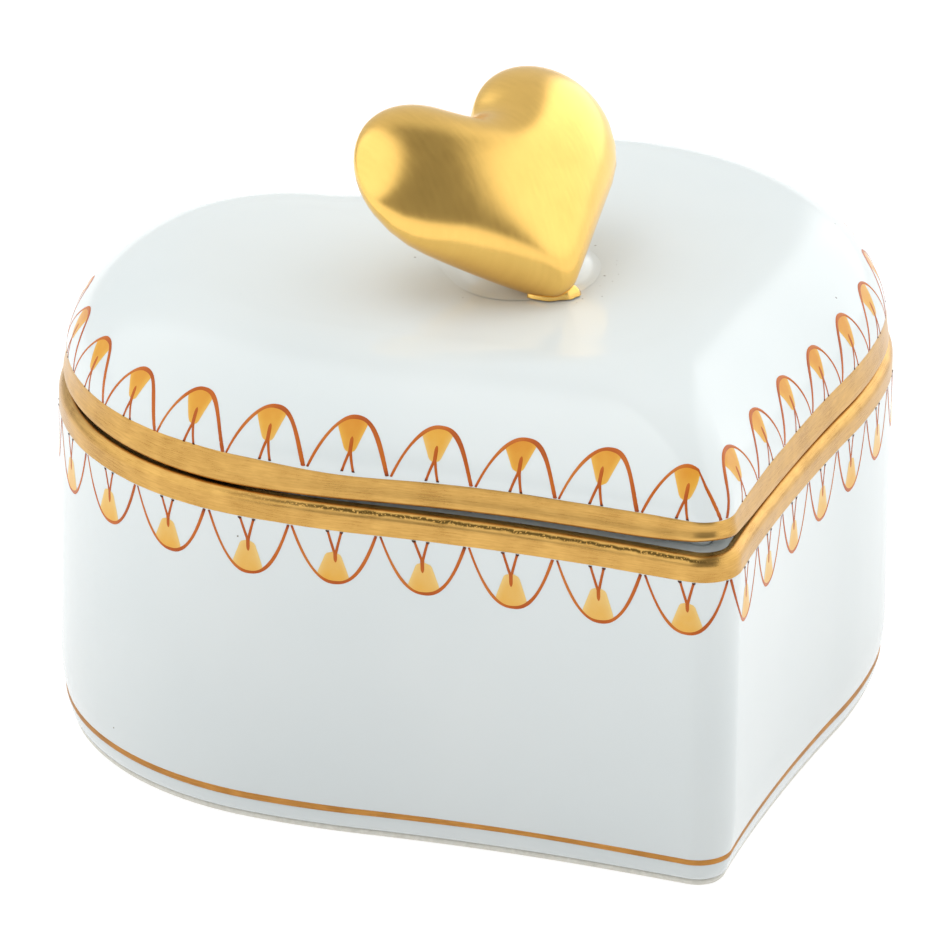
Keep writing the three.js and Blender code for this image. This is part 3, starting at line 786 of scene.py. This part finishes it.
lid_side_rows = [turning(rebate, lid_low + lid_bow),
                 turning(lid_edge_inset + edge_round, lid_low + lid_bow)]
for inset, height in sweep(lid_edge_inset + edge_round, lid_low + edge_round, edge_round, -edge_round,
                           math.pi / 2, 0, 6):
    lid_side_rows.append(turning(inset, height + lid_bow))
side_top = turning(lid_inset, shoulder_foot)
side_foot = lid_side_rows[-1]
for share in (0.35, 0.7):
    lid_side_rows.append(side_foot * (1 - share) + side_top * share)
shrinks = (0.93, 0.85, 0.75, 0.62, 0.48, 0.33, 0.18, 0.06)
inner_rows = dome_rows(lid_shell, 14, shrinks)
inner_rows = [row for row in inner_rows if row[0, 2] > rebate_top + 0.2 * mm][::-1]
inner_rows += [turning(lid_inset + lid_shell, rebate_top), turning(rebate, rebate_top)]
outer_rows = dome_rows(0, 28, shrinks)
lid = facing_out(cast("lid", inner_rows + lid_side_rows + outer_rows, crown=(True, True)))
lid.data.materials.append(porcelain)
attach(lid, "lid")
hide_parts("lid_dome")

# ------------------------------------------------------------------ gold on the lid's edge
# The same brushed and burnished gold runs round the lid's side, turned under its lower edge. The
# upper edge is the painter's: it wavers, and in places the burnisher has thinned it.

lid_band_edge = lid_band_top + wander(0.05 * mm, 45, 41) + wander(0.05 * mm, 8, 42)
lid_band_edge -= 0.32 * mm * np.exp(-(((rim_side + 29 * mm) / (6 * mm)) ** 2))
lid_skin = np.array(lid_side_rows[1:] + outer_rows[:14])
above_edge = 7
gold_rows = list(lid_skin[:above_edge + 1])
for share in (0.15, 0.4, 0.65, 0.85, 1.0):
    start = lid_skin[above_edge, :, 2]
    height = start + (lid_band_edge - start) * share
    gold_rows.append([[np.interp(height[i], lid_skin[above_edge:, i, 2], lid_skin[above_edge:, i, axis])
                       for axis in range(3)] for i in range(len(height))])
gold_rows = np.array(gold_rows)
tangent = np.roll(gold_rows, -1, 1) - np.roll(gold_rows, 1, 1)
outward = np.cross(tangent, [0, 0, 1.0])
outward /= np.linalg.norm(outward, axis=2)[..., None]
film_here = np.full(len(gold_rows), gold_film)
film_here[0], film_here[-1] = 0.2 * gold_film, 0.1 * gold_film
gold_rows += outward * film_here[:, None, None]
gold_rows[:4, :, 2] -= gold_film * np.array([0.2, 1, 1, 0.5])[:, None]
lid_gold = facing_out(cast("lid_rim_gold", gold_rows))
lid_gold.data.materials.append(rim_gold)
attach(lid_gold, "lid")
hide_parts("lid_rim_gilding")

# ------------------------------------------------------------------ painted border of the lid
# The lid's scallops mirror the base's: they stand on the gold and point up over the shoulder.

band_turn = math.asin((lid_band_top - shoulder_foot) / shoulder_rise)
lid_face = sweep(lid_inset + shoulder_reach, shoulder_foot, shoulder_reach, shoulder_rise,
                 band_turn, band_turn + 0.75, 22)
lid_edge = turning(lid_face[0][0], lid_face[0][1], tip_round - lid_inset)[:, :2]
lid_skin_map = Skin(lid, lid_edge, [(inset - lid_face[0][0], height) for inset, height in lid_face])
lid_left = (0.3 - 6.33 * np.arange(16)) * mm
lid_end = lid_skin_map.places[-1] + lid_left[-1]
near_tip = np.concatenate([[0.6 * mm], (8.2 + 6.25 * np.arange(5)) * mm])
lid_right = np.concatenate([near_tip, np.linspace(near_tip[-1], lid_end, 11)[1:]])
lid_style = dict(skew=0.07, slack=1.95, full=2.6, weight=0.13, fan_width=0.38, fan_end=0.3, fan_sill=0.36,
                 fan_tone=0.34, apex=0.67, join=0.37, lean=0.02, spread=0.13, dot=0.1)
for piece in border("lid_border", lid_skin_map, lid_left, lid_right, 4.05 * mm, lid_style, 51):
    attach(piece, "lid")

# ------------------------------------------------------------------ slip pad under the knob
# The knob is stuck on with a pat of slip, smoothed round with a wet brush and glazed with the lid.

knob_tilt = math.radians(42.5)
knob_turn = math.radians(15)
knob_at = np.array([-0.6 * mm, -6.3 * mm, lid_crown + 0.65 * mm])
right_way = np.array([math.cos(knob_turn), math.sin(knob_turn), 0])
up_way = np.array([-math.sin(knob_turn) * math.cos(knob_tilt), math.cos(knob_turn) * math.cos(knob_tilt),
                   math.sin(knob_tilt)])
face_way = np.cross(right_way, up_way)


def knob_point(across, along, out):
    """A point of the knob in its own frame, carried to where it sits on the lid."""
    across, along, out = (np.asarray(x, float)[..., None] for x in (across, along, out))
    return knob_at + across * right_way + along * up_way + out * face_way


pad_middle = np.array([-0.5, 1.5]) * mm
pad_across, pad_along = 5.7 * mm, 6.6 * mm
pad_rows = []
round_about = np.linspace(0, 2 * math.pi, 72, endpoint=False)
for size, height in ((1.04, -0.04), (0.99, 0.02), (0.94, 0.1), (0.89, 0.24), (0.84, 0.48), (0.79, 0.85),
                     (0.75, 1.35), (0.71, 2.0), (0.66, 2.9)):
    lobed = 1 + 0.03 * np.cos(3 * round_about + 1) + 0.02 * np.cos(5 * round_about)
    x = pad_middle[0] + np.cos(round_about) * pad_across * size * lobed
    y = pad_middle[1] + np.sin(round_about) * pad_along * size * lobed
    pad_rows.append(np.column_stack([x, y, np.full(72, lid_crown + height * mm - 0.02 * mm)]))
pad = facing_out(cast("slip_pad", pad_rows, crown=(False, True)))
pad.data.materials.append(porcelain)
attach(pad, "lid")
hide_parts("knob_pad")

# a few iron grains, wiped out of the slip and left on the glaze round the pad
grain_count = 22
grain_corners = 9
corner_turn = 2 * math.pi / grain_corners
grain_lift = 0.003 * mm
well_above = 0.1
grains = np.random.default_rng(61)
grain_points, grain_faces = [], []
for _ in range(grain_count):
    turn, out = grains.uniform(0, 2 * math.pi), grains.uniform(1.05, 1.34)
    start_at = Vector((pad_middle[0] + math.cos(turn) * pad_across * out,
                       pad_middle[1] + math.sin(turn) * pad_along * out, well_above))
    spot = lid_skin_map.tree.ray_cast(start_at, Vector((0, 0, -1)))[0]
    size = grains.uniform(0.035, 0.1) * mm
    middle = len(grain_points)
    grain_points.append(spot + Vector((0, 0, 0.3 * size)))
    for k in range(grain_corners):
        ragged = size * grains.uniform(0.6, 1.2)
        grain_points.append(spot + Vector((ragged * math.cos(k * corner_turn),
                                           ragged * math.sin(k * corner_turn), grain_lift)))
        grain_faces.append((middle, middle + 1 + k, middle + 1 + (k + 1) % grain_corners))
grain_mesh = bpy.data.meshes.new("iron_grains")
grain_mesh.from_pydata(grain_points, [], grain_faces)
iron_grains = bpy.data.objects.new("iron_grains", grain_mesh)
bpy.context.scene.collection.objects.link(iron_grains)
grain_finish, grain_nodes, grain_links, grain_shader = new_finish("iron_grains")
grain_mottle = grain_nodes.new("ShaderNodeTexNoise")
grain_mottle.inputs["Scale"].default_value = 3000
grain_shade = grain_nodes.new("ShaderNodeValToRGB")
grain_shade.color_ramp.elements[0].color = (0.05, 0.04, 0.035, 1)
grain_shade.color_ramp.elements[1].color = (0.36, 0.33, 0.30, 1)
grain_links.new(grain_mottle.outputs["Fac"], grain_shade.inputs["Fac"])
grain_links.new(grain_shade.outputs["Color"], grain_shader.inputs["Base Color"])
grain_shader.inputs["Roughness"].default_value = 0.5
grain_mesh.materials.append(grain_finish)
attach(iron_grains, "lid")

# ------------------------------------------------------------------ heart knob
# A puffy heart, press-moulded solid, set on its tip and leaning back. It is gilt all over and
# burnished by hand, which leaves soft streaks and a few scratches in the satin.

knob_heart = dict(width=23.2 * mm, tip_y=0, back_y=17.8 * mm, tip=1.7 * mm, flank=170 * mm, lobe=5.8 * mm,
                  back=5.8 * mm, notch=1.4 * mm, side_turn=-0.2, back_turn=1.06, reach=5.9 * mm)
knob_steps = dict(tip=8, flank=14, side=3, lobe=10, back=14, notch=6)
knob_thick = 9.6 * mm
knob_middle = np.array([0, 10.6 * mm])
knob_puff, tip_puff = 0.62, 0.43
knob_line = heart_line(knob_heart, 0, knob_heart["tip"], knob_steps)
around = len(knob_line)
shares = np.sin(np.linspace(0, math.pi / 2, 27)[1:])
flat = np.concatenate([[knob_middle]] + [knob_middle + (knob_line - knob_middle) * s for s in shares])
triangles = [(0, 1 + i, 1 + (i + 1) % around) for i in range(around)]
for ring in range(len(shares) - 1):
    low, high = 1 + ring * around, 1 + (ring + 1) * around
    for i in range(around):
        j = (i + 1) % around
        triangles += [(low + i, high + i, high + j), (low + i, high + j, low + j)]
triangles = np.array(triangles)


def soap_film(points, triangles, fixed):
    """Heights of a soap film blown up over a flat outline: it swells most where the heart is broadest."""
    count = len(points)
    stiff = np.zeros((count, count))
    load = np.zeros(count)
    a, b, c = (points[triangles[:, k]] for k in range(3))
    area = 0.5 * np.abs((b - a)[:, 0] * (c - a)[:, 1] - (b - a)[:, 1] * (c - a)[:, 0])
    for k in range(3):
        i, j, o = triangles[:, k], triangles[:, (k + 1) % 3], triangles[:, (k + 2) % 3]
        p, q = points[i] - points[o], points[j] - points[o]
        cotangent = (p * q).sum(1) / (4 * area)
        np.add.at(stiff, (i, j), -cotangent)
        np.add.at(stiff, (j, i), -cotangent)
        np.add.at(stiff, (i, i), cotangent)
        np.add.at(stiff, (j, j), cotangent)
        np.add.at(load, i, area / 3)
    free = np.arange(count) < fixed
    film = np.zeros(count)
    film[free] = np.linalg.solve(stiff[np.ix_(free, free)], load[free])
    return film / film.max()


edge = len(flat) - around
film = soap_film(flat, triangles, edge)
up_share = np.clip((flat[:, 1] - 1 * mm) / (10 * mm), 0, 1)
puff = tip_puff + (knob_puff - tip_puff) * up_share**2 * (3 - 2 * up_share)
swell = knob_thick / 2 * np.clip(film, 0, 1) ** puff
knob_points = np.concatenate([knob_point(flat[:, 0], flat[:, 1], swell),
                              knob_point(flat[:edge, 0], flat[:edge, 1], -swell[:edge])])
floor_height = lid_crown + 0.02 * mm
knob_points[:, 2] = np.maximum(knob_points[:, 2], floor_height)
back_index = np.where(np.arange(len(flat)) < edge, np.arange(len(flat)) + len(flat), np.arange(len(flat)))
knob_faces = triangles.tolist() + back_index[triangles][:, ::-1].tolist()
own = np.concatenate([flat, flat[:edge]])

# a small lump of slip, pressed round the tip to hold it and gilt with the knob
lug_at = np.array([-0.95 * mm, -4.75 * mm, floor_height])
lug_turn = math.radians(-33)
lug_half = (2.0 * mm, 1.15 * mm, 1.3 * mm)
lug_round, lug_rise = 28, 9
lug_pinch, lug_ripple, lug_dip = 0.08, 0.06, 0.1
lug = []
for rise in np.linspace(0, math.pi / 2, lug_rise):
    for turn in np.linspace(0, 2 * math.pi, lug_round, endpoint=False):
        pinched = 1 + lug_pinch * math.sin(3 * turn + 1)
        pinched += lug_ripple * math.sin(7 * turn) * math.cos(rise)
        along = lug_half[0] * math.cos(turn) * math.cos(rise) * pinched
        aside = lug_half[1] * math.sin(turn) * math.cos(rise) * pinched
        lug.append(lug_at + [along * math.cos(lug_turn) - aside * math.sin(lug_turn),
                             along * math.sin(lug_turn) + aside * math.cos(lug_turn),
                             lug_half[2] * math.sin(rise) * (1 - lug_dip * math.sin(2 * turn))])
start = len(knob_points)
for row in range(lug_rise - 1):
    for i in range(lug_round):
        j = (i + 1) % lug_round
        low, high = start + row * lug_round, start + (row + 1) * lug_round
        knob_faces.append((low + i, low + j, high + j, high + i))
knob_points = np.vstack([knob_points, lug])
own = np.vstack([own, np.array(lug)[:, :2]]) / mm
knob_mesh = bpy.data.meshes.new("heart_knob")
knob_mesh.from_pydata(knob_points.tolist(), [], knob_faces)
knob_brush = knob_mesh.uv_layers.new(name="brush")
for loop in knob_mesh.loops:
    knob_brush.data[loop.index].uv = own[loop.vertex_index][::-1]
knob_mesh.polygons.foreach_set("use_smooth", [True] * len(knob_mesh.polygons))
heart_knob = bpy.data.objects.new("puffy_heart", knob_mesh)
bpy.context.scene.collection.objects.link(heart_knob)
facing_out(heart_knob)
# painted light: the knob's gold is set lighter than the rims' gold, to stand in for brighter light falling
# on the knob
knob_bright = (0.97, 0.605, 0.165)
knob_deep = (0.90, 0.55, 0.145)
heart_knob.data.materials.append(gilding("knob_gold", knob_bright, knob_deep, 0.22, 0.05, 2.0))
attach(heart_knob, "lid")
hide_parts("heart_knob")

# ------------------------------------------------------------------ floor, light and camera
# A plain white studio floor, two large soft boxes and an overhead one, and a long lens from the
# front left, a little above the box.

floor_mesh = bpy.data.meshes.new("floor")
floor_half = 2.0
floor_level = -0.01 * mm
floor_mesh.from_pydata([(x * floor_half, y * floor_half, floor_level)
                        for x, y in ((-1, -1), (1, -1), (1, 1), (-1, 1))], [], [(0, 1, 2, 3)])
floor = bpy.data.objects.new("floor", floor_mesh)
bpy.context.scene.collection.objects.link(floor)
floor_paint, _, _, floor_shader = new_finish("white_floor")
floor_shader.inputs["Base Color"].default_value = (0.45, 0.45, 0.45, 1)
floor_shader.inputs["Emission Color"].default_value = (1.0, 1.0, 1.0, 1)
floor_shader.inputs["Emission Strength"].default_value = 0.68
floor_shader.inputs["Specular IOR Level"].default_value = 0.0
floor_shader.inputs["Roughness"].default_value = 0.7
floor_mesh.materials.append(floor_paint)


def soft_box(name, azimuth, elevation, distance, size, power, tint=(1, 1, 1)):
    light = bpy.data.lights.new(name, "AREA")
    light.shape = "RECTANGLE"
    light.size, light.size_y = size
    light.energy = power
    light.color = tint
    lamp = bpy.data.objects.new(name, light)
    a, e = math.radians(azimuth), math.radians(elevation)
    away = Vector((math.sin(a) * math.cos(e), -math.cos(a) * math.cos(e), math.sin(e)))
    lamp.location = Vector((0, 0, 0.03)) + away * distance
    lamp.rotation_euler = away.to_track_quat("Z", "Y").to_euler()
    bpy.context.scene.collection.objects.link(lamp)
    return lamp


top_fill = soft_box("top_fill", -20, 80, 0.9, (0.9, 0.9), 2.6)
top_fill.visible_glossy = False

# a white tent, brightest where its side panels hang, and open towards the camera
sky = bpy.data.worlds.new("studio")
sky.use_nodes = True
sky_nodes, sky_links = sky.node_tree.nodes, sky.node_tree.links
heading = sky_nodes.new("ShaderNodeTexCoord")
glow = None
for azimuth, elevation, dark_from, bright_from, level in (
        (76, 0, 66, 57, 1.16), (-107, 38, 53, 39, 1.1), (153, 10, 62, 40, 0.45)):
    a, e = math.radians(azimuth), math.radians(elevation)
    facing = sky_nodes.new("ShaderNodeVectorMath")
    facing.operation = "DOT_PRODUCT"
    facing.inputs[1].default_value = (math.sin(a) * math.cos(e), -math.cos(a) * math.cos(e), math.sin(e))
    sky_links.new(heading.outputs["Generated"], facing.inputs[0])
    panel = sky_nodes.new("ShaderNodeMapRange")
    panel.interpolation_type = "SMOOTHSTEP"
    panel.inputs["From Min"].default_value = math.cos(math.radians(dark_from))
    panel.inputs["From Max"].default_value = math.cos(math.radians(bright_from))
    panel.inputs["To Max"].default_value = level
    sky_links.new(facing.outputs["Value"], panel.inputs["Value"])
    total = sky_nodes.new("ShaderNodeMath")
    total.operation = "ADD"
    sky_links.new(panel.outputs["Result"], total.inputs[0])
    if glow is None:
        total.inputs[1].default_value = 0.3
    else:
        sky_links.new(glow, total.inputs[1])
    glow = total.outputs["Value"]
sky_nodes["Background"].inputs["Color"].default_value = (0.97, 1.0, 1.0, 1)
sky_links.new(glow, sky_nodes["Background"].inputs["Strength"])
bpy.context.scene.world = sky
bpy.context.scene.view_settings.view_transform = "Standard"

camera_azimuth = math.radians(-27.2)
camera_elevation = math.radians(24.0)
camera_distance = 0.9
camera_roll = math.radians(0.54)
aim = Vector((-1.1, 6.8, 17.9)) * mm
lens_data = bpy.data.cameras.new("camera")
lens_data.sensor_width = 36
lens_data.lens = 457
lens_data.clip_start = 0.01
camera = bpy.data.objects.new("camera", lens_data)
toward = Vector((math.sin(camera_azimuth) * math.cos(camera_elevation),
                 -math.cos(camera_azimuth) * math.cos(camera_elevation), math.sin(camera_elevation)))
camera.location = aim + toward * camera_distance
camera.rotation_euler = toward.to_track_quat("Z", "Y").to_euler()
camera.rotation_euler.rotate_axis("Z", camera_roll)
bpy.context.scene.collection.objects.link(camera)
bpy.context.scene.camera = camera
